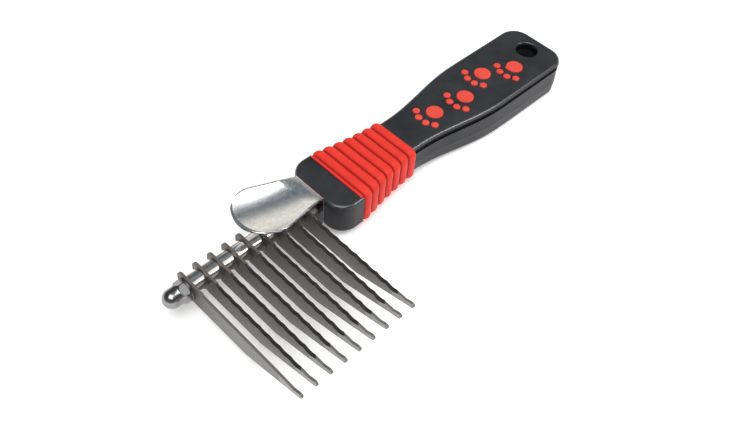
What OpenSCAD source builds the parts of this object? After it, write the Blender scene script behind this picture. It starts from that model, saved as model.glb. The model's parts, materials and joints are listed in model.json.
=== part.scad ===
// Undercoat rake: nine blades on a keyed rod, a thumb plate, and a two-shell handle with a ribbed grip.
// X runs from the blades to the tail, the blades point to -Y, and the thumb plate is on the +Z side.
// The origin is on the axis of the hang hole, level with the rod.

/* [Blades] */
// Distance from one blade to the next
blade_pitch = 6.5; // [6:0.1:7.5]
// Thickness of a blade
blade_t = 1; // [0.8:0.1:1.4]
// Depth of a blade's shank
blade_h = 10.7; // [10:0.1:12]
// Distance from the rod's axis to a blade's tip
blade_len = 60.6; // [52:0.2:66]
// Distance from the rod's axis back to a blade's heel
heel_len = 5.6; // [5.2:0.1:7]
// Distance from the rod's axis to the step where the edge starts
edge_start = 8.6; // [7.6:0.1:12]
// Scallops ground along a cutting edge
scallops = 8; // [5:1:9]
// Width of the ground bevel on a blade's face
bevel_w = 1; // [0.6:0.1:2]

/* [Rod and nuts] */
// Radius of the rod, a plain cylinder standing for an M5 thread
rod_r = 2.45; // [2.4:0.01:2.49]
// Radius of the bores that the rod passes through
rod_bore_r = 2.5; // [2.5:0.01:2.55]
// Thickness of the rod across its two flats
rod_flat_t = 4.2; // [3.8:0.1:4.6]
// Outside diameter of a spacer
spacer_d = 8.8; // [8:0.1:9.6]
// Width of the nuts across their flats
nut_af = 8; // [8:0.1:8.4]
// Height of the cap nut's hexagon
cap_hex_h = 3.3; // [3:0.1:4.5]
// Height of the cap nut with its dome
cap_nut_h = 9.4; // [9:0.1:10]
// Thickness of the split washer
washer_t = 0.8; // [0.8:0.1:1.4]

/* [Thumb plate] */
// Thickness of the plate
plate_t = 1.1; // [0.9:0.1:1.3]
// Width of the plate's leg and neck
neck_w = 15.2; // [13:0.2:17]
// Radius of the round thumb rest
rest_r = 12.3; // [10:0.1:13.5]
// Distance from the leg to the centre of the thumb rest
rest_reach = 23; // [18:0.5:26]
// Height of the plate's upper face above the rod, just past the bend
neck_z = 10.3; // [9.6:0.1:12]

/* [Handle] */
// Length of the handle from the face behind the blades to its tail
handle_len = 139.4; // [134:0.2:146]
// Distance from the tail to the axis of the hang hole
hole_inset = 9.8; // [9:0.1:12]
// Radius of the hang hole
hang_r = 5; // [4:0.1:5.4]
// Width across the tail
tail_w = 31.5; // [28:0.5:33]
// Width at the waist, just behind the grip
waist_w = 20.4; // [18:0.2:22]
// Radius of the corners of the tail
tail_corner_r = 8.5; // [7:0.5:12]
// Width of the block behind the blades
block_w = 31; // [29:0.5:33]
// Length of the block along the rod
block_len = 11.2; // [10:0.2:12]
// Height of the handle's top face above the rod
top_z = 7.3; // [7:0.1:8]
// Depth of the block below the rod
block_z = 7.8; // [7.6:0.1:8.4]
// Depth of the underside below the rod at the waist
waist_z = 7.2; // [7:0.1:8]
// Depth of the underside below the rod at the tail
tail_z = 10.2; // [9.6:0.1:11]
// Thickness of the top cover
cover_t = 2.3; // [2:0.1:2.8]
// Thickness of the handle's walls
wall = 2.2; // [1.8:0.1:2.6]

/* [Grip sleeve] */
// Number of ribs
ribs = 7; // [5:1:7]
// Distance from one rib to the next
rib_pitch = 4.68; // [4.5:0.02:4.7]
// Half width of the first rib, next to the block
rib_w_first = 16; // [15.6:0.1:17]
// Half width of the last rib, next to the waist
rib_w_last = 12.2; // [12:0.1:13]
// Depth of the valleys between the ribs
rib_depth = 1.3; // [0.8:0.1:1.6]

/* [Paw prints] */
// Radius of a main pad
pad_r = 3.75; // [3:0.05:4]
// Radius of a toe pad
toe_r = 1.65; // [1.2:0.05:1.8]
// Distance from a main pad's centre to its toes
toe_reach = 7.7; // [7:0.1:8.4]
// Height of the pads above the cover
pad_rise = 0.3; // [0.2:0.05:0.5]

/* [Hidden] */
$fn = 48;
BLADES = 9;

steel = [0.43, 0.42, 0.41];
nickel = [0.8, 0.79, 0.77];
black_plastic = [0.18, 0.18, 0.19];
red_rubber = [0.95, 0.25, 0.2];

// stations along X
front_x = hole_inset - handle_len;
leg_x = front_x - plate_t;
spacer_len = blade_pitch - blade_t;
stack_x = leg_x - BLADES * blade_pitch;
nut_x = stack_x - washer_t;
sleeve_x = front_x + block_len;
first_rib_x = sleeve_x + 3.8;
sleeve_end_x = first_rib_x + (ribs - 1) * rib_pitch + 1.8;
swell_x = sleeve_end_x + 2.7;
full_x = hole_inset - 44;
wide_x = hole_inset - 12;
flat_x = hole_inset - 32;
anchor_x = front_x + 20;

// blade
edge_z = 4.1;
edge_end_z = 3.1;
tip_r = 1.15;
tip_c = [-blade_len + tip_r, 2.8];
taper_start = 31.8;
scallop_r = 7.5;
blade_clear = 0.1;

// thumb plate
leg_depth = 7;
bend_r = 3;
plate_y = 0.8;
rest_rise = 76;

// handle
cover_z = top_z - cover_t;
groove_h = 1.3;
groove_d = 1.1;
foot_r = 2;
boss_r = hang_r + 2;
peg_xs = [-75, -42, -19];
peg_r = 1.5;
post_r = 3;
post_z = cover_z - 3;
peg_end_z = post_z - 4;
slot_clear = 0.05;
anchor_nut_h = 4;
anchor_washer_t = 1;
anchor_washer_r = 4.5;
washer_slot_r = anchor_washer_r + slot_clear;
core_w = [13, 8.8];
core_top = [6, 5.6];
core_low = [6.4, 6.2];

// paw prints: the pads' centres from the waist to the tail, and the directions of a pad's toes
pad_sink = 1.4;
paws = [[-62.2, -0.5], [-45.2, -2.5], [-28.1, 2.5], [-13.7, -3.9]];
toe_angles = [133, 163, 194, 224];

// Points of an arc about a centre, from angle a to angle b
function arc(c, r, a, b, n = 8) =
    [for (i = [0:n]) let (t = a + (b - a) * i / n) c + r * [cos(t), sin(t)]];

// Ease from 0 to 1 that is steepest at its start
function ease(x, x0, x1) = sin(90 * min(1, max(0, (x - x0) / (x1 - x0))));

// Ease from 0 to 1 that is level at both ends
function swell(x, x0, x1) = (1 - cos(180 * min(1, max(0, (x - x0) / (x1 - x0))))) / 2;

function mix(pair, t) = pair[0] + (pair[1] - pair[0]) * t;

// Half width of the handle at x, and its depth below the rod
function half_w(x) = (waist_w + (tail_w - waist_w) * swell(x, swell_x, full_x)) / 2;
function low_z(x) = waist_z + (tail_z - waist_z) * ease(x, sleeve_end_x, flat_x);

// Plan of the handle behind the grip, pulled in by inset
function tail_plan(inset, x0, n = 30) = let (
    side = [for (i = [0:n - 1]) let (x = x0 + (wide_x - x0) * i / n) [x, half_w(x) - inset]],
    back = [for (i = [n - 1:-1:0]) [side[i][0], -side[i][1]]],
    c = [hole_inset - tail_corner_r, tail_w / 2 - tail_corner_r]
) concat(
    side,
    arc(c, tail_corner_r - inset, 90, 0, 12),
    arc([c[0], -c[1]], tail_corner_r - inset, 0, -90, 12),
    back
);

// Side view of the handle behind the grip, with its floor raised by lift
function tail_side(x0, z1, lift, n = 16) = concat(
    [for (i = [0:n]) let (x = x0 + (flat_x - x0) * i / n) [x, lift - low_z(x)]],
    [[hole_inset + 1, lift - tail_z], [hole_inset + 1, z1], [x0, z1]]
);

// Extrude a Y-Z profile along X, and an X-Z profile across Y
module along_x(len) rotate([90, 0, 90]) linear_extrude(len) children();
module across_y(w) translate([0, w / 2, 0]) rotate([90, 0, 0]) linear_extrude(w) children();
module along_z(z0, z1) translate([0, 0, z0]) linear_extrude(z1 - z0) children();

module rod_shape(r, t) {
    intersection() {
        circle(r);
        square([2 * r + 1, t], center = true);
    }
}

// Rectangle from z0 to z1 with half width w and round corners
module round_rect(w, z0, z1, r) {
    translate([-w + r, z0]) square([2 * (w - r), z1 - z0]);
    translate([-w, z0 + r]) square([2 * w, z1 - z0 - 2 * r]);
    for (y = [-w + r, w - r], z = [z0 + r, z1 - r])
        translate([y, z]) circle(r);
}

module blade_profile() {
    heel_r = 3;
    mid = blade_h / 2;
    difference() {
        polygon(concat(
            arc([heel_len - heel_r, mid - heel_r], heel_r, 0, 90),
            [[-edge_start, mid - 0.2], [-edge_start - 0.3, mid - 0.5]],
            [[-edge_start - 0.6, edge_z + 0.3], [-50, edge_end_z + 0.3], [tip_c[0] + 3, edge_end_z - 0.1]],
            arc(tip_c, tip_r, 75, 254),
            [[-taper_start - 0.6, -mid + 0.1], [-taper_start, -mid]],
            arc([heel_len - heel_r, heel_r - mid], heel_r, 270, 360)
        ));
        rod_shape(rod_r + blade_clear, rod_flat_t + blade_clear);
    }
}

// Tilted cylinders that grind the scalloped bevel into the face towards -X
module scallop_cuts() {
    slope = atan2(blade_t, bevel_w);
    run = [-edge_start - 4, -49.5];
    for (i = [0:scallops - 1]) {
        t = i / (scallops - 1);
        translate([blade_t, mix(run, t), mix([edge_z, edge_end_z], t) - 0.25])
            rotate([0, slope, 0])
                translate([-scallop_r, 0, -4])
                    cylinder(h = 6, r = scallop_r, $fn = 96);
    }
}

// The blade next to the cap nut is plain, and the others have the scalloped edge
module blade(k) {
    color(steel)
        translate([stack_x + (k - 1) * blade_pitch, 0, 0])
            difference() {
                along_x(blade_t) blade_profile();
                if (k > 1) scallop_cuts();
            }
}

module spacer(k) {
    chamfer = 0.25;
    r = spacer_d / 2;
    color(nickel)
        translate([stack_x + (k - 1) * blade_pitch + blade_t, 0, 0])
            rotate([0, 90, 0])
                rotate_extrude()
                    polygon([
                        [rod_bore_r + blade_clear, 0], [r - chamfer, 0], [r, chamfer],
                        [r, spacer_len - chamfer], [r - chamfer, spacer_len],
                        [rod_bore_r + blade_clear, spacer_len]
                    ]);
}

module tie_rod() {
    end_x = nut_x - 5.8;
    tail_x = anchor_x + anchor_washer_t + anchor_nut_h + 2;
    color(nickel)
        intersection() {
            translate([end_x, 0, 0]) rotate([0, 90, 0]) cylinder(h = tail_x - end_x, r = rod_r);
            union() {
                translate([end_x, -5, -rod_flat_t / 2]) cube([front_x - end_x, 10, rod_flat_t]);
                translate([front_x, -5, -5]) cube([tail_x - front_x, 10, 10]);
            }
        }
}

// Hexagonal nut along +X with its outer corners chamfered at one end
module hex_nut(h) {
    corner_r = nut_af / 2 / cos(30);
    intersection() {
        rotate([0, 90, 0]) cylinder(h = h, r = corner_r, $fn = 6);
        rotate([0, 90, 0]) cylinder(h = h, r1 = nut_af / 2, r2 = nut_af / 2 + h * 1.7);
    }
}

module cap_nut() {
    dome_r = 3.75;
    bore_depth = 6.8;
    color(nickel)
        difference() {
            union() {
                translate([nut_x - cap_hex_h, 0, 0]) hex_nut(cap_hex_h);
                translate([nut_x - cap_nut_h + dome_r, 0, 0]) sphere(dome_r);
                translate([nut_x - cap_nut_h + dome_r, 0, 0]) rotate([0, 90, 0])
                    cylinder(h = cap_nut_h - dome_r - cap_hex_h / 2, r = dome_r);
            }
            translate([nut_x - bore_depth, 0, 0]) rotate([0, 90, 0])
                cylinder(h = bore_depth + 1, r = rod_bore_r);
        }
}

module lock_washer() {
    slit = 0.7;
    color(steel)
        difference() {
            translate([nut_x, 0, 0]) rotate([0, 90, 0]) cylinder(h = washer_t, r = 4.5);
            translate([nut_x - 1, 0, 0]) rotate([0, 90, 0]) cylinder(h = washer_t + 2, r = 2.7);
            translate([nut_x - 1, 0, -slit / 2]) cube([washer_t + 2, 6, slit]);
        }
}

module anchor_nut() {
    color(nickel)
        difference() {
            translate([anchor_x + anchor_washer_t, 0, 0]) rotate([0, 90, 0])
                cylinder(h = anchor_nut_h, r = nut_af / 2 / cos(30), $fn = 6);
            translate([anchor_x, 0, 0]) rotate([0, 90, 0])
                cylinder(h = anchor_nut_h + 3, r = rod_bore_r);
        }
}

module anchor_washer() {
    color(nickel)
        difference() {
            translate([anchor_x, 0, 0]) rotate([0, 90, 0])
                cylinder(h = anchor_washer_t, r = anchor_washer_r);
            translate([anchor_x - 1, 0, 0]) rotate([0, 90, 0])
                cylinder(h = anchor_washer_t + 2, r = rod_bore_r + blade_clear);
        }
}

// Half width of the thumb plate at distance a from the leg
function plate_half_w(a) = let (
    n = [rest_reach - 2, neck_w / 2],
    turn = acos(rest_r / norm(n)) + atan2(n[1], n[0]),
    t = [rest_reach - rest_r * cos(turn), rest_r * sin(turn)]
) a <= 2 ? n[1]
    : a < t[0] ? n[1] + (t[1] - n[1]) * (a - 2) / (t[0] - 2)
    : sqrt(max(0, pow(rest_r, 2) - pow(a - rest_reach, 2)));

// Height of the plate's upper face, which rises towards its end and its sides
function plate_top(a, y) =
    neck_z + 0.05 * a + 0.0027 * a * a + y * y / rest_rise * min(1, max(0, a - bend_r) / 6);

// One ring of the plate's sheet: n points across the upper or outer face
function plate_row(s, under, n) = let (
    tip_a = rest_reach + rest_r * 0.995,
    off = under ? plate_t : 0
) [for (j = [0:n]) let (v = 2 * j / n - 1)
    s[0] == "leg" ? [front_x - off, plate_y + v * s[2], s[1]]
    : s[0] == "bend" ? let (r = bend_r - off)
        [front_x - bend_r + r * cos(s[1]), plate_y + v * s[2], neck_z + 0.15 - bend_r + r * sin(s[1])]
    : let (a = min(tip_a, s[1]), y = v * plate_half_w(a))
        [front_x - a, plate_y + y, plate_top(a, y) - off]];

module thumb_plate() {
    n = 16;
    corner = 3;
    foot = [for (i = [0:4]) let (t = 90 * i / 4)
        ["leg", corner * (1 - cos(t)) - leg_depth, neck_w / 2 - corner * (1 - sin(t))]];
    bend = [for (i = [0:6]) ["bend", 90 * i / 6, neck_w / 2]];
    rest = [for (i = [1:26]) ["rest", bend_r + (rest_reach + rest_r - bend_r) * sin(90 * i / 26), 0]];
    rows = concat(foot, bend, rest);
    m = len(rows);
    top_pts = [for (s = rows) each plate_row(s, false, n)];
    low_pts = [for (s = rows) each plate_row(s, true, n)];
    base = m * (n + 1);
    faces = concat(
        [for (i = [0:m - 2], j = [0:n - 1]) let (p = i * (n + 1) + j)
            each [[p, p + 1, p + n + 2], [p, p + n + 2, p + n + 1]]],
        [for (i = [0:m - 2], j = [0:n - 1]) let (p = base + i * (n + 1) + j)
            each [[p, p + n + 2, p + 1], [p, p + n + 1, p + n + 2]]],
        [for (i = [0:m - 2]) let (p = i * (n + 1), q = p + n)
            each [[p, p + n + 1, base + p + n + 1], [p, base + p + n + 1, base + p],
                  [q, base + q, base + q + n + 1], [q, base + q + n + 1, q + n + 1]]],
        [for (j = [0:n - 1]) let (p = j, q = (m - 1) * (n + 1) + j)
            each [[p, base + p, base + p + 1], [p, base + p + 1, p + 1],
                  [q, q + 1, base + q + 1], [q, base + q + 1, base + q]]]
    );
    color(nickel)
        difference() {
            polyhedron(concat(top_pts, low_pts), faces);
            translate([leg_x - 1, 0, 0])
                along_x(plate_t + 2) rod_shape(rod_r + blade_clear, rod_flat_t + blade_clear);
        }
}

module block() {
    corner_r = 8;
    half = block_w / 2;
    intersection() {
        along_z(-20, 20)
            polygon(concat(
                arc([front_x + corner_r, half - corner_r], corner_r, 90, 180),
                arc([front_x + corner_r, corner_r - half], corner_r, 180, 270),
                [[sleeve_x, -half], [sleeve_x, half]]
            ));
        translate([front_x - 1, 0, 0]) along_x(block_len + 2) round_rect(half, -block_z, top_z, 2);
    }
}

// The stretch of the body that the grip sleeve covers
module core() {
    x0 = sleeve_x;
    x1 = sleeve_end_x;
    intersection() {
        along_z(-20, 20)
            polygon([[x0, -core_w[0]], [x1, -core_w[1]], [x1, core_w[1]], [x0, core_w[0]]]);
        across_y(60)
            polygon([[x0, -core_low[0]], [x1, -core_low[1]], [x1, core_top[1]], [x0, core_top[0]]]);
    }
}

// The tray behind the grip, which the cover closes
module tray() {
    x0 = sleeve_end_x;
    floor_x = x0 + wall;
    difference() {
        intersection() {
            union() {
                along_z(-20, cover_z - groove_h) polygon(tail_plan(0, x0));
                along_z(-20, cover_z) polygon(tail_plan(groove_d, x0));
            }
            across_y(60) polygon(tail_side(x0, cover_z, 0));
            translate([x0, 0, 0]) along_x(200) round_rect(tail_w / 2, -tail_z, 20, foot_r);
        }
        intersection() {
            along_z(-20, 20) polygon(tail_plan(groove_d + wall, floor_x));
            across_y(60) polygon(tail_side(floor_x, cover_z + 1, wall));
        }
    }
    for (x = peg_xs)
        translate([x, 0, wall / 2 - low_z(x)])
            cylinder(h = post_z - wall / 2 + low_z(x), r = post_r);
    translate([0, 0, -tail_z]) cylinder(h = tail_z + cover_z, r = boss_r);
}

module handle_body() {
    color(black_plastic)
        difference() {
            union() {
                block();
                core();
                tray();
            }
            translate([front_x - 1, 0, 0]) rotate([0, 90, 0]) cylinder(h = 30, r = rod_bore_r);
            translate([anchor_x, -washer_slot_r, -12])
                cube([anchor_washer_t, 2 * washer_slot_r, 12 + washer_slot_r]);
            translate([anchor_x + anchor_washer_t, -nut_af / 2 - slot_clear, -12])
                cube([anchor_nut_h + slot_clear, nut_af + 2 * slot_clear, 12 + washer_slot_r + 0.2]);
            for (x = peg_xs)
                translate([x, 0, peg_end_z - 0.2])
                    cylinder(h = post_z - peg_end_z + 1, r = peg_r + slot_clear);
            translate([0, 0, -tail_z - 1]) cylinder(h = tail_z + cover_z + 2, r = hang_r);
        }
}

module paw_shape(k, grow) {
    translate(paws[k - 1]) {
        circle(pad_r + grow);
        for (a = toe_angles)
            translate(toe_reach * [cos(a), sin(a)]) circle(toe_r + grow);
    }
}

module handle_cover() {
    color(black_plastic) {
        difference() {
            union() {
                along_z(cover_z, top_z) polygon(tail_plan(0, sleeve_end_x));
                for (x = peg_xs)
                    translate([x, 0, peg_end_z]) cylinder(h = cover_z - peg_end_z + 0.5, r = peg_r);
            }
            for (k = [1:4])
                along_z(top_z - pad_sink, top_z + 1) paw_shape(k, 0);
            translate([0, 0, cover_z - 1]) cylinder(h = cover_t + 2, r = hang_r);
        }
    }
}

module paw_print(k) {
    color(red_rubber) along_z(top_z - pad_sink, top_z + pad_rise) paw_shape(k, 0);
}

// Half width and height of the sleeve at rib i
function rib_w(i) = rib_w_last + (rib_w_first - rib_w_last) * pow(1 - i / (ribs - 1), 1.6);
function rib_top(i) = 8.4 - 0.3 * i / (ribs - 1);
function rib_low(i) = 8.2 - 0.4 * i / (ribs - 1);

module grip_sleeve() {
    rib_len = 3.4;
    color(red_rubber)
        difference() {
            union() {
                translate([sleeve_x, 0, 0])
                    along_x(1.6) round_rect(rib_w(0) - 0.6, -rib_low(0) + 0.2, rib_top(0) - 0.6, 3);
                for (i = [0:ribs - 1]) {
                    w = rib_w(i);
                    x = first_rib_x + i * rib_pitch;
                    start = max(sleeve_x, x - rib_pitch / 2);
                    end = min(sleeve_end_x, x + rib_pitch / 2);
                    translate([x - rib_len / 2, 0, 0])
                        along_x(rib_len) round_rect(w, -rib_low(i), rib_top(i), 4.5);
                    translate([start, 0, 0])
                        along_x(end - start)
                            round_rect(w - rib_depth, rib_depth - rib_low(i), rib_top(i) - rib_depth, 3.6);
                }
            }
            core();
        }
}

for (k = [1:BLADES]) blade(k);
for (k = [1:BLADES]) spacer(k);
for (k = [1:4]) paw_print(k);
tie_rod();
cap_nut();
lock_washer();
anchor_nut();
anchor_washer();
thumb_plate();
handle_body();
handle_cover();
grip_sleeve();
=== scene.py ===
"""Looks of the undercoat rake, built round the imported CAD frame.

X runs from the blades to the tail, the blades point to -Y and the thumb plate is on the +Z side.
Shapes are worked out in millimetres and turned into metres when a piece is made.
"""

import json
import math

import bmesh
import bpy
from mathutils import Matrix, Vector


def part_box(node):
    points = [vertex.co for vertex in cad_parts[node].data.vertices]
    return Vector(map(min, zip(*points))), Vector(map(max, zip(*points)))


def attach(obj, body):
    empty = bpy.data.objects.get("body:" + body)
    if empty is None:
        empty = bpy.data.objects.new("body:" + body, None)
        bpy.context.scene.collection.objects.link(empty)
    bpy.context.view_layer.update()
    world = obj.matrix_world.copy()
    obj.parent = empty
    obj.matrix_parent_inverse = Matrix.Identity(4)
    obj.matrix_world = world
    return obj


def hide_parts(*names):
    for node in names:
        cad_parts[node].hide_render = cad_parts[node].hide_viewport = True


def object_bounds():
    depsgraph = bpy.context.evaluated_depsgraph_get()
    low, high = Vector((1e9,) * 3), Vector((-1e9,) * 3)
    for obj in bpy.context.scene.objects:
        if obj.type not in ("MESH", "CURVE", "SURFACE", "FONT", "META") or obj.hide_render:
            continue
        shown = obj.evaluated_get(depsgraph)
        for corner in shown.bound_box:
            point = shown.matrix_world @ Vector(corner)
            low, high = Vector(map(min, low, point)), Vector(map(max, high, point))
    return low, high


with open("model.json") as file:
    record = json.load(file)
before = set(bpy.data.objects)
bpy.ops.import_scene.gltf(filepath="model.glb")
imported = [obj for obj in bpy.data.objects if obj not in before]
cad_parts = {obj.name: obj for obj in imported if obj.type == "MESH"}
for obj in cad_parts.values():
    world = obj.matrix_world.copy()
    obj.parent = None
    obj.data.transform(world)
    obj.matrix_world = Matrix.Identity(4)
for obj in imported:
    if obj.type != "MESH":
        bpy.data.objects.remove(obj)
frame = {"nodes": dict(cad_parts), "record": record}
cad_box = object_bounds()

MM = 0.001
BLADES = 9
PAWS = 4


def mm_box(node):
    """Lowest and highest corner of a CAD node, in millimetres."""
    lo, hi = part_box(node)
    return lo / MM, hi / MM


# Stations and extents taken from the CAD nodes
body_lo, body_hi = mm_box("handle_body")
cover_lo, cover_hi = mm_box("handle_cover")
sleeve_lo, sleeve_hi = mm_box("grip_sleeve")
plate_lo, plate_hi = mm_box("thumb_plate")
FRONT_X = body_lo.x
TAIL_X = cover_hi.x
TOP_Z = cover_hi.z
TAIL_LOW = -body_lo.z
TAIL_HALF = cover_hi.y
BLOCK_HALF = body_hi.y
SLEEVE_X = sleeve_lo.x
SLEEVE_END = sleeve_hi.x
HANG_R = next(m for m in frame["record"]["mounts"] if m["name"] == "hang_hole")["dims"]["r_mm"]

# Handle shells. The plan is narrow at the waist, behind the grip, and full from FULL_X to the tail.
WAIST_HALF = 10.2
WAIST_LOW = 7.2
SWELL_X = SLEEVE_END + 2.7
FULL_X = TAIL_X - 44
FLAT_X = TAIL_X - 32       # from here the underside is level
WIDE_X = TAIL_X - 12       # from here the outline rounds into the tail
TAIL_CORNER = 8.5
COVER_T = 2.3
COVER_LIP = 0.3            # rounding of the cover's lower edge
COVER_RIM = 1.8            # and of its upper one
GROOVE_H = 1.3
GROOVE_D = 1.1
PARTING = 0.6              # height of the parting line, as a share of the way down from the top
PARTING_NOTCH = 0.16
TRAY_DRAFT = 0.3
FOOT_R = 2.0
COVER_TUCK = 1.2           # how far the shells reach in under the grip
TRAY_TUCK = 1.5
HOLE_MOUTH = 0.6

# The block behind the blades, and the core that joins it to the handle through the grip
BLOCK_LOW = 7.8
BLOCK_CORNER = 8.0
BLOCK_TOP_R = 1.7
BLOCK_LOW_R = 2.4
CORE_ENDS = (              # x, half width, depth, height
    (SLEEVE_X - 1, 13.0, 6.4, 6.0),
    (SLEEVE_END + 0.5, 8.4, 6.2, 4.0),
)

# Grip sleeve
RIBS = 7
RIB_PITCH = 4.68
RIB_DEPTH = 1.45
FIRST_RIB = SLEEVE_X + 3.8
RIB_END_HALF = 12.2        # half width of the last rib
RIB_TAPER = 1.6            # how early the grip narrows: 1 would be evenly
RIB_END_DROP = 0.3         # how much lower the last rib's top is than the first one's
RIB_END_LIFT = 0.4         # and how much higher its underside
SLEEVE_CORNER = 3.2
FLANGE_SHARE = 0.55        # height of the flange by the block, as a share of a rib's
FLANGE_R = 0.5

# Thumb plate
PLATE_T = 1.1
PLATE_Y = (plate_lo.y + plate_hi.y) / 2
PLATE_SLOPE = 0.05
PLATE_CURL = 0.0027
PLATE_EDGE = 0.42          # rounding of its edges
PLATE_LIP = 0.26           # how far the rolled rim drops
DISH_R = 38
NECK_HALF = 7.6
NECK_RUN = 2               # length over which the neck keeps its width
NECK_Z = 10.3
BEND_R = 3.0
LEG_CORNER = 3.0
REST_R = (plate_hi.y - plate_lo.y) / 2
REST_REACH = FRONT_X - plate_lo.x - REST_R
LEG_LOW = -plate_lo.z

# Paw prints, let into the cover with a hairline gap round them
PAD_R = 3.75
TOE_R = 1.65
TOE_REACH = 7.7
TOE_ANGLES = (133, 163, 194, 224)
INLAY_DEPTH = 0.5
INLAY_GAP = 0.24
PAD_NIB = (150, 0.9)       # moulding mark on the last pad: its angle and how far it stands out


# ---------------------------------------------------------------- small geometry helpers

def arc(cx, cy, rx, ry, start, end, steps):
    """Points of an ellipse's arc, with its angles in degrees."""
    turns = [math.radians(start + (end - start) * i / steps) for i in range(steps + 1)]
    return [(cx + rx * math.cos(t), cy + ry * math.sin(t)) for t in turns]


def clamp(value, low=0.0, high=1.0):
    return max(low, min(high, value))


def ease(x, start, end):
    """From 0 to 1, steepest at its start."""
    return math.sin(math.pi / 2 * clamp((x - start) / (end - start)))


def swell(x, start, end):
    """From 0 to 1, level at both ends."""
    return (1 - math.cos(math.pi * clamp((x - start) / (end - start)))) / 2


def mix(a, b, t):
    return a + (b - a) * t


def loft(bm, rings, cap_first=True, cap_last=True):
    """Quads between closed rings of points, with a flat cap on either end."""
    loops = [[bm.verts.new(p) for p in ring] for ring in rings]
    for a, b in zip(loops, loops[1:]):
        for i in range(len(a)):
            j = (i + 1) % len(a)
            bm.faces.new((a[i], a[j], b[j], b[i]))
    if cap_first:
        bm.faces.new(loops[0][::-1])
    if cap_last:
        bm.faces.new(loops[-1])
    return loops


def unit_circle(count):
    turns = [2 * math.pi * i / count for i in range(count)]
    return [(math.cos(t), math.sin(t)) for t in turns]


def strip_cap(bm, loop):
    """Closes a ring whose two halves mirror each other with strips from one half to the other."""
    n = len(loop)
    for i in range(n // 2 - 1):
        bm.faces.new((loop[i], loop[i + 1], loop[n - 2 - i], loop[n - 1 - i]))


def lathe(bm, profile, segments=96, start=0.0, sweep=360.0):
    """Turns a closed (x, r) profile about the rod's axis, all the way round or through a sweep."""
    full = abs(sweep - 360) < 1e-6
    count = segments if full else segments + 1
    rings = []
    for i in range(count):
        t = math.radians(start + sweep * i / segments)
        rings.append([(x, r * math.cos(t), r * math.sin(t)) for x, r in profile])
    if full:
        loops = loft(bm, rings, False, False)
        for i in range(len(profile)):
            j = (i + 1) % len(profile)
            bm.faces.new((loops[-1][i], loops[-1][j], loops[0][j], loops[0][i]))
    else:
        loft(bm, rings)


def button(bm, centre, radius, base_z, edge_z, top_z, edge_r, segments, nib=None):
    """A round boss on a flat face, with a rounded edge and a crowned top."""
    profile = [(radius, base_z), (radius, edge_z)]
    profile += arc(radius - edge_r, edge_z, edge_r, 0.75 * (top_z - edge_z), 0, 90, 5)[1:]
    shoulder_r, shoulder_z = profile[-1]
    for i in (1, 2, 3):
        share = i / 4
        profile.append((shoulder_r * (1 - share), mix(shoulder_z, top_z, 1 - (1 - share) ** 2)))
    rings = []
    for r, z in profile:
        ring = []
        for i in range(segments):
            t = 2 * math.pi * i / segments
            reach = r
            if nib:
                angle, height = nib
                half_angle = 14
                away = abs((math.degrees(t) - angle + 180) % 360 - 180)
                reach += r / radius * height * max(0.0, 1 - away / half_angle) ** 1.5
            ring.append((centre[0] + reach * math.cos(t), centre[1] + reach * math.sin(t), z))
        rings.append(ring)
    loops = loft(bm, rings, True, False)
    tip = bm.verts.new((centre[0], centre[1], top_z))
    for i in range(segments):
        bm.faces.new((loops[-1][i], loops[-1][(i + 1) % segments], tip))


def make_piece(name, bm, material, body, nodes, crease=35.0):
    """Turns a mesh in millimetres into a piece that rides on a body and stands for CAD nodes."""
    bmesh.ops.recalc_face_normals(bm, faces=bm.faces)
    mesh = bpy.data.meshes.new(name)
    bm.to_mesh(mesh)
    bm.free()
    mesh.transform(Matrix.Scale(MM, 4))
    mesh.polygons.foreach_set("use_smooth", [True] * len(mesh.polygons))
    mesh.set_sharp_from_angle(angle=math.radians(crease))
    mesh.materials.append(material)
    piece = bpy.data.objects.new(name, mesh)
    bpy.context.scene.collection.objects.link(piece)
    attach(piece, body)
    if nodes:
        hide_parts(*nodes)
    return piece


def cut(piece, bm, crease=35.0):
    """Cuts the closed mesh in bm, given in millimetres, out of a piece."""
    bmesh.ops.recalc_face_normals(bm, faces=bm.faces)
    mesh = bpy.data.meshes.new("cutter")
    bm.to_mesh(mesh)
    bm.free()
    mesh.transform(Matrix.Scale(MM, 4))
    cutter = bpy.data.objects.new("cutter", mesh)
    bpy.context.scene.collection.objects.link(cutter)
    modifier = piece.modifiers.new("cut", "BOOLEAN")
    modifier.operation = "DIFFERENCE"
    modifier.solver = "EXACT"
    modifier.object = cutter
    bpy.context.view_layer.update()
    evaluated = piece.evaluated_get(bpy.context.evaluated_depsgraph_get())
    result = bpy.data.meshes.new_from_object(evaluated)
    piece.modifiers.clear()
    piece.data = result
    result.polygons.foreach_set("use_smooth", [True] * len(result.polygons))
    result.set_sharp_from_angle(angle=math.radians(crease))
    bpy.data.objects.remove(cutter)


def weigh_normals(piece):
    """Keeps flat faces flat beside the small roundings at their edges."""
    modifier = piece.modifiers.new("weighted_normals", "WEIGHTED_NORMAL")
    modifier.keep_sharp = True
    modifier.weight = 80


# ---------------------------------------------------------------- materials

def new_material(name, base, roughness, metallic=0.0, specular=0.5):
    """A material with its constants on the shader's own sockets."""
    material = bpy.data.materials.new(name)
    material.use_nodes = True
    tree = material.node_tree
    shader = tree.nodes["Principled BSDF"]
    shader.inputs["Base Color"].default_value = (*base, 1)
    shader.inputs["Roughness"].default_value = roughness
    shader.inputs["Metallic"].default_value = metallic
    shader.inputs["Specular IOR Level"].default_value = specular
    return material, tree, shader


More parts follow.
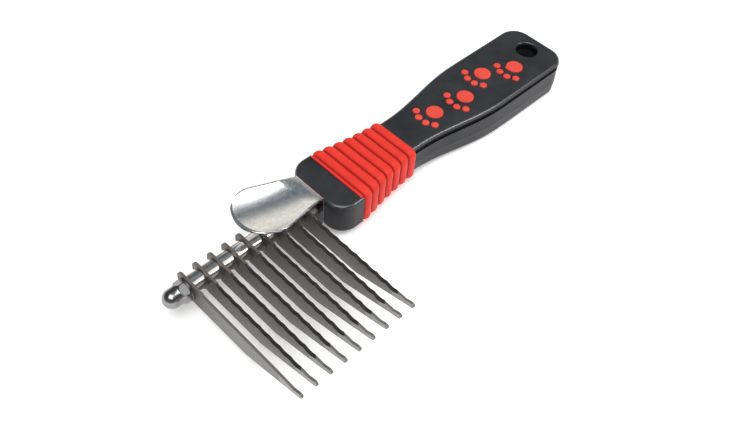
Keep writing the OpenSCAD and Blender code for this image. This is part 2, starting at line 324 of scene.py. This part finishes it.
def noise(tree, size_mm, detail=3.0, stretch=(1, 1, 1), distortion=0.0):
    """Noise on the piece's own coordinates with features of about size_mm."""
    place = tree.nodes.new("ShaderNodeTexCoord")
    mapping = tree.nodes.new("ShaderNodeMapping")
    mapping.inputs["Scale"].default_value = stretch
    texture = tree.nodes.new("ShaderNodeTexNoise")
    texture.inputs["Scale"].default_value = 1 / (size_mm * MM)
    texture.inputs["Detail"].default_value = detail
    texture.inputs["Distortion"].default_value = distortion
    tree.links.new(place.outputs["Object"], mapping.inputs["Vector"])
    tree.links.new(mapping.outputs["Vector"], texture.inputs["Vector"])
    return texture.outputs["Fac"]


def remap(tree, value, low, high, to_low, to_high):
    """A value moved from one range to another, and held inside it."""
    node = tree.nodes.new("ShaderNodeMapRange")
    sockets = ("From Min", "From Max", "To Min", "To Max")
    for socket, number in zip(sockets, (low, high, to_low, to_high)):
        node.inputs[socket].default_value = number
    tree.links.new(value, node.inputs["Value"])
    return node.outputs["Result"]


def calculate(tree, operation, first, second):
    """The result of a sum on two values, held between 0 and 1."""
    node = tree.nodes.new("ShaderNodeMath")
    node.operation = operation
    node.use_clamp = True
    tree.links.new(first, node.inputs[0])
    tree.links.new(second, node.inputs[1])
    return node.outputs[0]


def blend_colour(tree, share, first, second):
    """A colour between two others; either may be a socket."""
    node = tree.nodes.new("ShaderNodeMix")
    node.data_type = "RGBA"
    tree.links.new(share, node.inputs[0])
    for socket, colour in ((node.inputs[6], first), (node.inputs[7], second)):
        if isinstance(colour, tuple):
            socket.default_value = (*colour, 1)
        else:
            tree.links.new(colour, socket)
    return node.outputs[2]


def add_bump(tree, shader, layers):
    """Bump from several heights, each with its depth in millimetres."""
    previous = None
    for height, depth_mm in layers:
        node = tree.nodes.new("ShaderNodeBump")
        node.inputs["Distance"].default_value = depth_mm * MM
        node.inputs["Strength"].default_value = 1.0
        tree.links.new(height, node.inputs["Height"])
        if previous:
            tree.links.new(previous, node.inputs["Normal"])
        previous = node.outputs["Normal"]
    tree.links.new(previous, shader.inputs["Normal"])


def own_axis(tree, output, axis):
    """One axis of the piece's own coordinates, or of its normal in them."""
    place = tree.nodes.new("ShaderNodeTexCoord")
    split = tree.nodes.new("ShaderNodeSeparateXYZ")
    tree.links.new(place.outputs[output], split.inputs[0])
    return split.outputs[axis]


def black_plastic(name, grooved):
    """Satin black moulding with a fine grain.

    Its edges, which face half upwards, are worn glossy. Where grooved, the groove under the cover
    gets painted shade, darker and less glossy: outside is 0 in that band of heights and 1 above
    and below it.
    """
    material, tree, shader = new_material(name, (0.022, 0.023, 0.026), 0.45, specular=0.22)
    clouds = remap(tree, noise(tree, 12, 5), 0.35, 0.65, 0, 1)
    tint = blend_colour(tree, clouds, (0.017, 0.018, 0.021), (0.029, 0.030, 0.034))
    tilt = own_axis(tree, "Normal", "Z")
    worn = calculate(
        tree, "MULTIPLY", remap(tree, tilt, 0.2, 0.45, 0, 1), remap(tree, tilt, 0.97, 0.88, 0, 1))
    gloss = remap(tree, worn, 0, 1, 0.22, 0.9)
    if grooved:
        height = own_axis(tree, "Object", "Z")
        edge_z = (TOP_Z - 1.3) * MM
        ledge_z = (TOP_Z - COVER_T - GROOVE_H - 0.3) * MM
        # Painted shade for the groove under the cover: a near black colour, with its gloss cut down
        # too.
        groove_shade = (0.008, 0.008, 0.009)
        outside = calculate(
            tree, "ADD", remap(tree, height, edge_z, edge_z + 0.3 * MM, 0, 1),
            remap(tree, height, ledge_z, ledge_z + 0.2 * MM, 1, 0))
        tint = blend_colour(tree, outside, groove_shade, tint)
        gloss = calculate(tree, "MULTIPLY", gloss, remap(tree, outside, 0, 1, 0.08, 1))
    tree.links.new(tint, shader.inputs["Base Color"])
    tree.links.new(gloss, shader.inputs["Specular IOR Level"])
    grain = remap(tree, noise(tree, 3, 5), 0.3, 0.7, 0.34, 0.42)
    smooth = remap(tree, worn, 0, 1, 1, 0.7)
    tree.links.new(calculate(tree, "MULTIPLY", grain, smooth), shader.inputs["Roughness"])
    add_bump(tree, shader, [(noise(tree, 0.3, 2), 0.01), (noise(tree, 9, 2), 0.05)])
    return material


def red_rubber(name, light, dark):
    """Soft moulded rubber: a little uneven in tone, with a fine matt grain."""
    material, tree, shader = new_material(name, light, 0.5, specular=0.24)
    clouds = remap(tree, noise(tree, 5, 4), 0.3, 0.7, 0, 1)
    tree.links.new(blend_colour(tree, clouds, dark, light), shader.inputs["Base Color"])
    rough = remap(tree, noise(tree, 1.5, 4), 0.3, 0.7, 0.44, 0.6)
    tree.links.new(rough, shader.inputs["Roughness"])
    shader.inputs["Subsurface Weight"].default_value = 0.08
    shader.inputs["Subsurface Radius"].default_value = (1.0, 0.25, 0.15)
    shader.inputs["Subsurface Scale"].default_value = 0.0006
    add_bump(tree, shader, [(noise(tree, 0.3, 2), 0.012), (noise(tree, 2.5, 2), 0.025)])
    return material


def valley_tint(material):
    """Darkens the grip towards the bottom of each valley, where the ribs shade it."""
    tree = material.node_tree
    shader = tree.nodes["Principled BSDF"]
    along = own_axis(tree, "Object", "X")
    phase = tree.nodes.new("ShaderNodeMath")
    phase.operation = "MULTIPLY_ADD"
    phase.inputs[1].default_value = 2 * math.pi / (RIB_PITCH * MM)
    phase.inputs[2].default_value = -2 * math.pi * FIRST_RIB / RIB_PITCH
    wave = tree.nodes.new("ShaderNodeMath")
    wave.operation = "COSINE"
    tree.links.new(along, phase.inputs[0])
    tree.links.new(phase.outputs[0], wave.inputs[0])
    depth = remap(tree, wave.outputs[0], -1.0, -0.55, 1, 0)
    base = shader.inputs["Base Color"].links[0].from_socket
    tint = blend_colour(tree, depth, base, (0.36, 0.012, 0.008))
    tree.links.new(tint, shader.inputs["Base Color"])


def blade_steel():
    """Blade steel: darker at the root, lighter at the tip, with a painted dark reflection on the
    ground bevel.

    The blades point to -Y. This is the side that faces the cap nut, at -X, with its bevel turned
    towards +Z. The rim and the far side have one plain tone.
    """
    material, tree, shader = new_material("blade_steel", (0.2, 0.19, 0.18), 0.42, metallic=0.65)
    along = own_axis(tree, "Object", "Y")
    root_y = (-0.026, -0.006)
    tip_y = (-0.0492, -0.0506)
    root = remap(tree, along, *root_y, 0, 1)
    tip = remap(tree, along, *tip_y, 0, 1)
    face = blend_colour(tree, root, (0.235, 0.23, 0.22), (0.13, 0.122, 0.112))
    face = blend_colour(tree, tip, face, (0.36, 0.36, 0.355))
    speckle = remap(tree, noise(tree, 0.4, 5), 0.35, 0.65, 0, 0.4)
    face = blend_colour(tree, speckle, face, (0.1, 0.095, 0.09))
    # Painted dark reflection: faces tilted up like the ground bevel are made near black.
    edge = remap(tree, own_axis(tree, "Normal", "Z"), 0.28, 0.4, 0, 1)
    face = blend_colour(tree, edge, face, (0.05, 0.049, 0.048))
    rim = remap(tree, own_axis(tree, "Normal", "X"), -0.4, -0.2, 0, 1)
    face = blend_colour(tree, rim, face, (0.19, 0.17, 0.15))
    tree.links.new(face, shader.inputs["Base Color"])
    rough = remap(tree, noise(tree, 0.8, 4), 0.3, 0.7, 0.36, 0.52)
    tree.links.new(rough, shader.inputs["Roughness"])
    along_blade = (1, 0.06, 1)
    add_bump(tree, shader, [
        (noise(tree, 0.12, 2, along_blade), 0.004),
        (noise(tree, 0.3, 3), 0.006),
    ])
    return material


def polished_metal(name, base, stain, rough_low, rough_high):
    """Bright plating with faint stains and a hair-fine grain."""
    material, tree, shader = new_material(name, base, rough_low, metallic=1.0)
    stains = remap(tree, noise(tree, 2.2, 5, distortion=0.4), 0.45, 0.75, 0, 1)
    tree.links.new(blend_colour(tree, stains, base, stain), shader.inputs["Base Color"])
    worn = remap(tree, noise(tree, 1.0, 5), 0.35, 0.7, rough_low, rough_high)
    tree.links.new(worn, shader.inputs["Roughness"])
    add_bump(tree, shader, [(noise(tree, 0.25, 2), 0.0003)])
    return material


def plated_sheet():
    """Bright plated sheet with a fine mottle, darker where it tilts from upward, painted shade in
    its fold.
    """
    material, tree, shader = new_material("plated_sheet", (0.78, 0.79, 0.8), 0.24, metallic=1.0)
    mottle = remap(tree, noise(tree, 0.5, 5, distortion=0.3), 0.35, 0.65, 0, 1)
    tint = blend_colour(tree, mottle, (0.7, 0.72, 0.74), (0.86, 0.86, 0.85))
    rough = remap(tree, noise(tree, 1.3, 5), 0.3, 0.7, 0.19, 0.27)
    tree.links.new(rough, shader.inputs["Roughness"])
    # Painted shade: the face in the fold, turned to -X, is made near black.
    inside = remap(tree, own_axis(tree, "Normal", "X"), -0.75, -0.95, 0, 1)
    edge = remap(tree, own_axis(tree, "Normal", "Z"), 0.8, 0.5, 0, 1)
    tint = blend_colour(tree, edge, tint, (0.48, 0.49, 0.51))
    tint = blend_colour(tree, inside, tint, (0.1, 0.1, 0.1))
    tree.links.new(tint, shader.inputs["Base Color"])
    add_bump(tree, shader, [(noise(tree, 0.3, 1), 0.0002)])
    return material


# ---------------------------------------------------------------- handle

def half_width(x):
    return mix(WAIST_HALF, TAIL_HALF, swell(x, SWELL_X, FULL_X))


def low_z(x):
    return -mix(WAIST_LOW, TAIL_LOW, ease(x, SLEEVE_END, FLAT_X))


def with_normals(path):
    """Gives each point of an open outline its outward normal, in plan; the ends face sideways."""
    rows = []
    for i, (x, y) in enumerate(path):
        if i in (0, len(path) - 1):
            rows.append((x, y, 0.0, math.copysign(1, y)))
            continue
        dx, dy = path[i + 1][0] - path[i - 1][0], path[i + 1][1] - path[i - 1][1]
        length = math.hypot(dx, dy)
        rows.append((x, y, dy / length, -dx / length))
    return rows


def tail_outline(x0, steps=56):
    """The handle in plan behind x0, from its right front corner round the tail to its left one."""
    stations = [mix(x0, WIDE_X, i / steps) for i in range(steps)]
    right = [(x, -half_width(x)) for x in stations]
    centre = (TAIL_X - TAIL_CORNER, TAIL_CORNER - TAIL_HALF)
    right += arc(*centre, TAIL_CORNER, TAIL_CORNER, -90, 0, 14)
    return with_normals(right + [(x, -y) for x, y in reversed(right)])


def block_outline():
    """The block in plan, from its right rear corner round the front to its left one.

    It runs the other way round from the tail's outline, so the normals on its way are turned.
    """
    right = [(SLEEVE_X + 0.8 - 0.8 * i, -BLOCK_HALF) for i in range(4)]
    centre = (FRONT_X + BLOCK_CORNER, BLOCK_CORNER - BLOCK_HALF)
    right += arc(*centre, BLOCK_CORNER, BLOCK_CORNER, -90, -180, 16)
    first, *between, last = with_normals(right + [(x, -y) for x, y in reversed(right)])
    return [first] + [(x, y, -nx, -ny) for x, y, nx, ny in between] + [last]


def closed_sweep(bm, outline, profile_at):
    """A solid bounded by an outline swept along a profile, with flat faces below and above."""
    loops = loft(bm, swept_rings(outline, profile_at), False, False)
    strip_cap(bm, loops[0])
    strip_cap(bm, loops[-1])


def swept_rings(outline, profile_at):
    """Rings of an outline moved outward and up by each point of a profile."""
    rings = [[] for point in profile_at(outline[0][0])]
    for x, y, nx, ny in outline:
        for ring, (out, z) in zip(rings, profile_at(x)):
            ring.append((x + nx * out, y + ny * out, z))
    return rings


def cover_profile(x):
    """The cover's side, which is the same at every x: a small lip below and a full rim above."""
    base = TOP_Z - COVER_T
    return (
        [(-GROOVE_D - 1, base)]
        + arc(-COVER_LIP, base + COVER_LIP, COVER_LIP, COVER_LIP, -90, 0, 4)
        + arc(-COVER_RIM, TOP_Z - COVER_RIM, COVER_RIM, COVER_RIM, 0, 90, 8)
    )


def tray_profile(x):
    """The tray's side: the groove, two drafted bands with a parting line between, a round foot."""
    top = TOP_Z - COVER_T
    shoulder = top - GROOVE_H
    low = low_z(x)
    parting = mix(TOP_Z, low, PARTING)
    return (
        [(-GROOVE_D - 0.8, top + 0.05), (-GROOVE_D, top + 0.05), (-GROOVE_D, shoulder + 0.35)]
        + arc(-GROOVE_D + 0.3, shoulder + 0.3, 0.3, 0.3, 180, 270, 3)
        + arc(-TRAY_DRAFT - 0.1, shoulder - 0.3, 0.25, 0.3, 90, 0, 4)
        + [(-TRAY_DRAFT * 0.5, mix(shoulder, parting, 0.5)), (0, parting + PARTING_NOTCH)]
        + [(-PARTING_NOTCH, parting), (0, parting - PARTING_NOTCH)]
        + [(-TRAY_DRAFT * 0.5, mix(parting, low + FOOT_R, 0.5))]
        + arc(-TRAY_DRAFT - FOOT_R, low + FOOT_R, FOOT_R, FOOT_R, 0, -90, 8)
    )


def block_profile(x):
    """The block's side, which is the same at every x."""
    return (
        arc(-BLOCK_LOW_R, BLOCK_LOW_R - BLOCK_LOW, BLOCK_LOW_R, BLOCK_LOW_R, -90, 0, 8)
        + arc(-BLOCK_TOP_R, TOP_Z - BLOCK_TOP_R, BLOCK_TOP_R, BLOCK_TOP_R, 0, 90, 8)
    )


def hang_hole_cutter():
    """The hang hole with a rounded mouth at both ends."""
    bm = bmesh.new()
    mouth = HOLE_MOUTH
    wide = HANG_R + mouth
    profile = [(wide, TAIL_LOW + 1)]
    profile += arc(wide, TAIL_LOW - mouth, mouth, mouth, 90, 180, 6)
    profile += arc(wide, -TOP_Z + mouth, mouth, mouth, 180, 270, 6)
    profile += [(wide, -TOP_Z - 1)]
    loft(bm, [[(r * c, r * s, -z) for c, s in unit_circle(72)] for r, z in profile])
    return bm


def paw_layout(k):
    """Centres of paw print k's pad and of its toes, read from where its CAD node lies."""
    hi = mm_box(f"paw_print_{k}")[1]
    cx = hi.x - PAD_R
    cy = hi.y - TOE_R - TOE_REACH * math.sin(math.radians(TOE_ANGLES[0]))
    toes = []
    for degrees in TOE_ANGLES:
        t = math.radians(degrees)
        toes.append((cx + TOE_REACH * math.cos(t), cy + TOE_REACH * math.sin(t)))
    return (cx, cy), toes


def make_cover(material):
    bm = bmesh.new()
    closed_sweep(bm, tail_outline(SLEEVE_END - COVER_TUCK), cover_profile)
    piece = make_piece(
        "handle_cover_shell", bm, material, "handle", ["handle_cover"])
    cut(piece, hang_hole_cutter())
    bm = bmesh.new()
    for k in range(1, PAWS + 1):
        pad, toes = paw_layout(k)
        for (x, y), radius in [(pad, PAD_R)] + [(toe, TOE_R) for toe in toes]:
            r = radius + INLAY_GAP
            loft(bm, [
                [(x + r * c, y + r * s, z) for c, s in unit_circle(40)]
                for z in (TOP_Z - INLAY_DEPTH, TOP_Z + 1)
            ])
    cut(piece, bm)
    weigh_normals(piece)


def make_body(material, block_material):
    bm = bmesh.new()
    closed_sweep(bm, tail_outline(SLEEVE_END - TRAY_TUCK), tray_profile)
    piece = make_piece(
        "handle_body_shell", bm, material, "handle", ["handle_body"])
    cut(piece, hang_hole_cutter())
    weigh_normals(piece)

    bm = bmesh.new()
    closed_sweep(bm, block_outline(), block_profile)
    loft(bm, [
        [(x, -half, -low), (x, half, -low), (x, half, top), (x, -half, top)]
        for x, half, low, top in CORE_ENDS
    ])
    block = make_piece("handle_block", bm, block_material, "handle", [])
    weigh_normals(block)


def make_paws(material):
    """The inlays: flat pads that stand just proud of the cover, and domed toes."""
    base_z = TOP_Z - INLAY_DEPTH
    for k in range(1, PAWS + 1):
        bm = bmesh.new()
        pad, toes = paw_layout(k)
        button(bm, pad, PAD_R, base_z, edge_z=TOP_Z + 0.05, top_z=TOP_Z + 0.3, edge_r=0.35,
               segments=56, nib=PAD_NIB if k == PAWS else None)
        for toe in toes:
            button(bm, toe, TOE_R, base_z, edge_z=TOP_Z - 0.02, top_z=TOP_Z + 0.5, edge_r=0.9,
                   segments=32)
        make_piece(f"paw_print_{k}_inlay", bm, material, "handle", [f"paw_print_{k}"])


# ---------------------------------------------------------------- grip sleeve

def rib_swell(x):
    """0 on top of a rib and -1 in a valley; the flange by the block stands half way."""
    u = (x - FIRST_RIB) / RIB_PITCH
    nearest = clamp(round(u), 0, RIBS - 1)
    away = abs(u - nearest) * 2
    if u < -0.5:
        edge = (-0.5 - u) * RIB_PITCH
        return -1 + FLANGE_SHARE * math.sqrt(clamp(1 - (1 - clamp(edge / FLANGE_R)) ** 2))
    if away > 1:
        return -1.0
    reach = 1.02           # slightly past the valley, so that the sides don't end upright
    roundness = 1.35
    return (1 - (away / reach) ** 2.0) ** (1 / roundness) - 1


def rounded_box(left, right, low, top, r, steps):
    """A rounded rectangle, from its right side round over its top."""
    corners = ((right - r, top - r), (left + r, top - r), (left + r, low + r), (right - r, low + r))
    path = []
    for quarter, (cx, cy) in enumerate(corners):
        path += arc(cx, cy, r, r, 90 * quarter, 90 * quarter + 90, steps)
    return path


def make_sleeve(material):
    """The ribbed grip: a rounded section that narrows a little from the first rib to the last."""
    bm = bmesh.new()
    step = 0.18
    count = round((SLEEVE_END - SLEEVE_X) / step)
    rings = []
    for i in range(count + 1):
        x = mix(SLEEVE_X, SLEEVE_END, i / count)
        rise = rib_swell(x) * RIB_DEPTH
        t = clamp((x - FIRST_RIB) / RIB_PITCH / (RIBS - 1))
        half = mix(RIB_END_HALF, sleeve_hi.y, (1 - t) ** RIB_TAPER) + rise
        top = mix(sleeve_hi.z, sleeve_hi.z - RIB_END_DROP, t) + rise
        low = mix(sleeve_lo.z, sleeve_lo.z + RIB_END_LIFT, t) - rise
        section = rounded_box(-half, half, low, top, SLEEVE_CORNER + rise, 10)
        rings.append([(x, y, z) for y, z in section])
    loft(bm, rings)
    make_piece("grip_sleeve_rubber", bm, material, "handle", ["grip_sleeve"], 60)


# ---------------------------------------------------------------- thumb plate

def neck_half(a):
    """Half width of the plate at distance a from its leg: neck, straight flare, then circle."""
    rise_a = REST_REACH - NECK_RUN
    turn = math.acos(REST_R / math.hypot(rise_a, NECK_HALF)) + math.atan2(NECK_HALF, rise_a)
    touch_a = REST_REACH - REST_R * math.cos(turn)
    touch = REST_R * math.sin(turn)
    if a <= NECK_RUN:
        return NECK_HALF
    if a < touch_a:
        return mix(NECK_HALF, touch, (a - NECK_RUN) / (touch_a - NECK_RUN))
    return math.sqrt(max(0.0, REST_R ** 2 - (a - REST_REACH) ** 2))


def smooth_half(a):
    """The same half width with the bend beside the neck eased."""
    eased_to = 14
    if a > eased_to:
        return neck_half(a)
    offsets = (-2.4, -1.2, 0, 1.2, 2.4)
    return sum(neck_half(a + d) for d in offsets) / len(offsets)


def plate_top(a, y):
    """Height of the plate's upper face, which rises towards its end and its sides."""
    dish = clamp((a - BEND_R) / 6)
    return NECK_Z + PLATE_SLOPE * a + PLATE_CURL * a * a + y * y / (2 * DISH_R) * dish


def plate_rows(across):
    """The plate's outer face as rows from the foot of its leg, over the bend, to its round end.

    across goes from -1 to 1. The last row follows the end's arc through wrap on either side, and
    the rows before it bulge less and less towards the bend.
    """
    rows = []
    foot_steps = 6
    for i in range(foot_steps + 1):
        t = math.pi / 2 * i / foot_steps
        half = NECK_HALF - LEG_CORNER * (1 - math.sin(t))
        z = LEG_CORNER * (1 - math.cos(t)) - LEG_LOW
        rows.append([(FRONT_X, v * half, z) for v in across])
    leg_top = NECK_Z + 0.15 - BEND_R
    leg_steps = 7
    for i in range(1, leg_steps):
        z = mix(LEG_CORNER - LEG_LOW, leg_top, i / leg_steps)
        rows.append([(FRONT_X, v * NECK_HALF, z) for v in across])
    for x, z in arc(FRONT_X - BEND_R, leg_top, BEND_R, BEND_R, 0, 90, 9):
        rows.append([(x, v * NECK_HALF, z) for v in across])
    wrap = math.radians(55)
    end_a = REST_REACH + REST_R * math.cos(wrap)
    bulge_from = 6
    lip_from = 4
    steps = 46
    for i in range(1, steps + 1):
        a_side = mix(BEND_R, end_a, i / steps)
        bulge = clamp((a_side - bulge_from) / (end_a - bulge_from)) ** 1.6
        half = smooth_half(a_side)
        row = []
        for v in across:
            a = a_side + bulge * REST_R * (math.cos(v * wrap) - math.cos(wrap))
            y = half * mix(v, math.sin(v * wrap) / math.sin(wrap), bulge)
            rim = i == steps or abs(v) == 1
            drop = PLATE_LIP * clamp((a - lip_from) / 4) if rim else 0.0
            row.append((FRONT_X - a, y, plate_top(a, y) - drop))
        rows.append(row)
    return rows


def make_thumb_plate(material):
    """The sheet is made as its outer face, then given its thickness and rounded edges."""
    columns = 36
    rows = plate_rows([2 * j / columns - 1 for j in range(columns + 1)])
    bm = bmesh.new()
    grid = [[bm.verts.new((x, PLATE_Y + y, z)) for x, y, z in row] for row in rows]
    for a, b in zip(grid, grid[1:]):
        for j in range(columns):
            bm.faces.new((a[j], a[j + 1], b[j + 1], b[j]))
    piece = make_piece(
        "thumb_plate_sheet", bm, material, "handle", ["thumb_plate"], 180)
    if piece.data.polygons[-1].normal.z < 0:
        piece.data.flip_normals()
    sheet = piece.modifiers.new("thickness", "SOLIDIFY")
    sheet.thickness = PLATE_T * MM
    sheet.offset = -1
    sheet.use_even_offset = True
    edge = piece.modifiers.new("rolled_edge", "BEVEL")
    edge.width = PLATE_EDGE * MM
    edge.segments = 4
    edge.limit_method = "ANGLE"
    edge.angle_limit = math.radians(50)


# ---------------------------------------------------------------- rod hardware

def make_spacers(material, painted_shade_material):
    """A tube behind each blade; the last one, in the plate's fold, takes a dark steel as painted
    shade.
    """
    bore = 2.6
    edge = 0.3
    for k in range(1, BLADES + 1):
        node = f"spacer_{k}"
        lo, hi = mm_box(node)
        r = hi.y
        profile = [(lo.x, bore)]
        profile += arc(lo.x + edge, r - edge, edge, edge, 180, 90, 4)
        profile += arc(hi.x - edge, r - edge, edge, edge, 90, 0, 4)
        profile += [(hi.x, bore)]
        bm = bmesh.new()
        lathe(bm, profile)
        # The last tube's dark material is painted shade for the fold it sits in.
        finish_or_shade = painted_shade_material if k == BLADES else material
        piece = make_piece(f"{node}_tube", bm, finish_or_shade, "handle", [node])
        weigh_normals(piece)


def make_cap_nut(material):
    """An M5 acorn nut: a hexagon with its corners turned off, a neck and a dome."""
    lo, hi = mm_box("cap_nut")
    flat = 4.0
    corner = flat / math.cos(math.radians(30)) - 0.12
    chamfer = 0.9
    dome_r = 3.75
    bore = 2.5
    base = hi.x
    shoulder = base - 3.3
    centre = lo.x + dome_r

    def column(t):
        """The nut's outline at angle t, from its flat face to the top of its dome."""
        turn = (math.degrees(t) + 30) % 60 - 30
        side = min(flat / math.cos(math.radians(turn)), corner)
        reach = (side - flat) / (corner - flat)
        return [
            (base, bore), (base, flat - 0.08), (base - 0.06 - 0.3 * reach, side),
            (shoulder + chamfer * (0.15 + reach), side), (shoulder, flat - 0.15),
            (shoulder - 0.1, dome_r + 0.08), (shoulder - 0.4, dome_r), (centre, dome_r),
        ] + arc(centre, 0, dome_r, dome_r, 90, 178, 20)[1:]

    count = 144
    turns = [2 * math.pi * i / count for i in range(count)]
    columns = [[(x, r * math.cos(t), r * math.sin(t)) for x, r in column(t)] for t in turns]
    bm = bmesh.new()
    loft(bm, [[rows[i] for rows in columns] for i in range(len(columns[0]))])
    make_piece("cap_nut_turned", bm, material, "nut", ["cap_nut"], 22)


def make_lock_washer(material):
    """A split spring washer whose two ends stand slightly apart."""
    lo, hi = mm_box("lock_washer")
    inner, outer = 2.7, 4.5
    edge = 0.12
    gap_degrees = 9.0
    bm = bmesh.new()
    section = rounded_box(lo.x, hi.x, inner, outer, edge, 3)
    lathe(bm, section, 96, gap_degrees / 2, 360 - gap_degrees)
    make_piece("lock_washer_ring", bm, material, "washer", ["lock_washer"])


def paint(names, material):
    """Puts a material on CAD nodes that stay as they are."""
    for name in names:
        mesh = frame["nodes"][name].data
        mesh.materials.clear()
        mesh.materials.append(material)


# ---------------------------------------------------------------- studio

def make_floor():
    """A pale floor under the tail, which the rake lies on."""
    bm = bmesh.new()
    reach = 4000
    steps = 8
    z = cad_box[0].z / MM
    lines = [mix(-reach, reach, i / steps) for i in range(steps + 1)]
    grid = [[bm.verts.new((x, y, z)) for y in lines] for x in lines]
    for i in range(steps):
        for j in range(steps):
            bm.faces.new((grid[i][j], grid[i + 1][j], grid[i + 1][j + 1], grid[i][j + 1]))
    material, tree, shader = new_material("pale_floor", (0.93, 0.93, 0.93), 0.8, specular=0.1)
    tint = blend_colour(tree, noise(tree, 300, 2), (0.92, 0.92, 0.92), (0.95, 0.95, 0.95))
    tree.links.new(tint, shader.inputs["Base Color"])
    shader.inputs["Emission Color"].default_value = (1, 1, 1, 1)
    shader.inputs["Emission Strength"].default_value = 0.22
    mesh = bpy.data.meshes.new("floor")
    bm.to_mesh(mesh)
    bm.free()
    mesh.transform(Matrix.Scale(MM, 4))
    mesh.materials.append(material)
    floor = bpy.data.objects.new("floor", mesh)
    bpy.context.scene.collection.objects.link(floor)


def softbox(name, direction, spread_degrees, radiance, colour=(1, 1, 1)):
    """An area light that faces the rake from a direction, and looks the same from all along it.

    spread_degrees is how wide and high it looks from there, and radiance how bright its face is.
    """
    distance = 2.0
    aim = (cad_box[0] + cad_box[1]) / 2
    light = bpy.data.lights.new(name, "AREA")
    light.shape = "RECTANGLE"
    light.size, light.size_y = (
        2 * distance * math.tan(math.radians(angle / 2)) for angle in spread_degrees)
    light.energy = radiance * math.pi * light.size * light.size_y
    light.color = colour
    lamp = bpy.data.objects.new(name, light)
    away = Vector(direction).normalized()
    lamp.location = aim + away * distance
    lamp.rotation_euler = away.to_track_quat("Z", "Y").to_euler()
    lamp.visible_camera = False
    bpy.context.scene.collection.objects.link(lamp)


def make_world():
    """White to the camera, soft light on the surfaces, and a dim room in what is glossy.

    The room's colours go by how far up a ray points, from 0 at the horizon and below to 1 overhead.
    """
    world = bpy.data.worlds.new("studio")
    bpy.context.scene.world = world
    world.use_nodes = True
    tree = world.node_tree
    tree.nodes.clear()
    path = tree.nodes.new("ShaderNodeLightPath")
    place = tree.nodes.new("ShaderNodeTexCoord")
    split = tree.nodes.new("ShaderNodeSeparateXYZ")
    tree.links.new(place.outputs["Generated"], split.inputs[0])
    room = tree.nodes.new("ShaderNodeValToRGB")
    stops = (
        (0.0, (0.45, 0.43, 0.4)), (0.25, (0.4, 0.38, 0.35)), (0.42, (0.15, 0.135, 0.115)),
        (0.6, (0.09, 0.12, 0.145)), (0.76, (0.09, 0.12, 0.145)), (1.0, (0.25, 0.25, 0.26)),
    )
    while len(room.color_ramp.elements) < len(stops):
        room.color_ramp.elements.new(0.5)
    for element, (at, colour) in zip(room.color_ramp.elements, stops):
        element.position = at
        element.color = (*colour, 1)
    tree.links.new(split.outputs["Z"], room.inputs["Fac"])
    backgrounds = []
    white = (1, 1, 1)
    for colour, strength in ((white, 0.42), (room.outputs["Color"], 1.0), (white, 1.0)):
        node = tree.nodes.new("ShaderNodeBackground")
        if isinstance(colour, tuple):
            node.inputs["Color"].default_value = (*colour, 1)
        else:
            tree.links.new(colour, node.inputs["Color"])
        node.inputs["Strength"].default_value = strength
        backgrounds.append(node.outputs[0])
    result = backgrounds[0]
    for ray, background in (("Is Glossy Ray", backgrounds[1]), ("Is Camera Ray", backgrounds[2])):
        node = tree.nodes.new("ShaderNodeMixShader")
        tree.links.new(path.outputs[ray], node.inputs[0])
        tree.links.new(result, node.inputs[1])
        tree.links.new(background, node.inputs[2])
        result = node.outputs[0]
    output = tree.nodes.new("ShaderNodeOutputWorld")
    tree.links.new(result, output.inputs["Surface"])


def make_camera():
    """A camera that looks down on the rake past its cap nut, fitted to the photo's perspective."""
    place = Vector((-0.27763, -0.16173, 0.25364))
    right = Vector((0.7109, -0.70055, 0.06207))
    up = Vector((0.50659, 0.57129, 0.64575))
    forward = Vector((0.48784, 0.42763, -0.76102))
    camera = bpy.data.cameras.new("camera")
    camera.sensor_width = 36
    camera.lens = 41.556
    camera.clip_start = 0.01
    holder = bpy.data.objects.new("camera", camera)
    turn = Matrix((right, up, -forward)).transposed().to_4x4()
    holder.matrix_world = Matrix.Translation(place) @ turn
    bpy.context.scene.collection.objects.link(holder)
    bpy.context.scene.camera = holder


# ---------------------------------------------------------------- the scene

make_camera()
make_world()
make_floor()
softbox("key_softbox", (-0.3, -0.16, 0.94), (44, 44), 3.7)
softbox("plate_softbox", (0.611, 0.175, 0.772), (15, 7), 5.0)
softbox("side_softbox", (0.49, -0.56, 0.67), (26, 54), 0.85)
softbox("rim_softbox", (0.49, -0.5, 0.72), (26, 11), 8.0)
softbox("back_softbox", (0.54, 0.72, 0.43), (30, 18), 0.85, (1.0, 0.95, 0.87))

plastic = black_plastic("black_plastic", False)
shell_plastic = black_plastic("black_shell_plastic", True)
grip = red_rubber("red_grip", (0.74, 0.036, 0.022), (0.66, 0.028, 0.018))
valley_tint(grip)
inlay = red_rubber("red_inlay", (0.72, 0.07, 0.048), (0.64, 0.056, 0.038))
steel = blade_steel()
nickel = polished_metal("polished_nickel", (0.84, 0.82, 0.79), (0.66, 0.62, 0.55), 0.07, 0.18)
chrome = polished_metal("dark_chrome", (0.3, 0.295, 0.295), (0.25, 0.245, 0.24), 0.16, 0.22)
spring = polished_metal("spring_steel", (0.24, 0.235, 0.23), (0.12, 0.11, 0.1), 0.28, 0.45)
zinc = polished_metal("zinc_plate", (0.62, 0.62, 0.6), (0.45, 0.45, 0.44), 0.25, 0.4)

make_cover(shell_plastic)
make_body(shell_plastic, plastic)
make_paws(inlay)
make_sleeve(grip)
make_thumb_plate(plated_sheet())
# spring steel also stands as painted shade on the last spacer, in the plate's fold
make_spacers(nickel, spring)
make_cap_nut(chrome)
make_lock_washer(spring)
paint([f"blade_{k}" for k in range(1, BLADES + 1)], steel)
paint(["tie_rod", "anchor_nut", "anchor_washer"], zinc)

bpy.context.scene.view_settings.view_transform = "Standard"
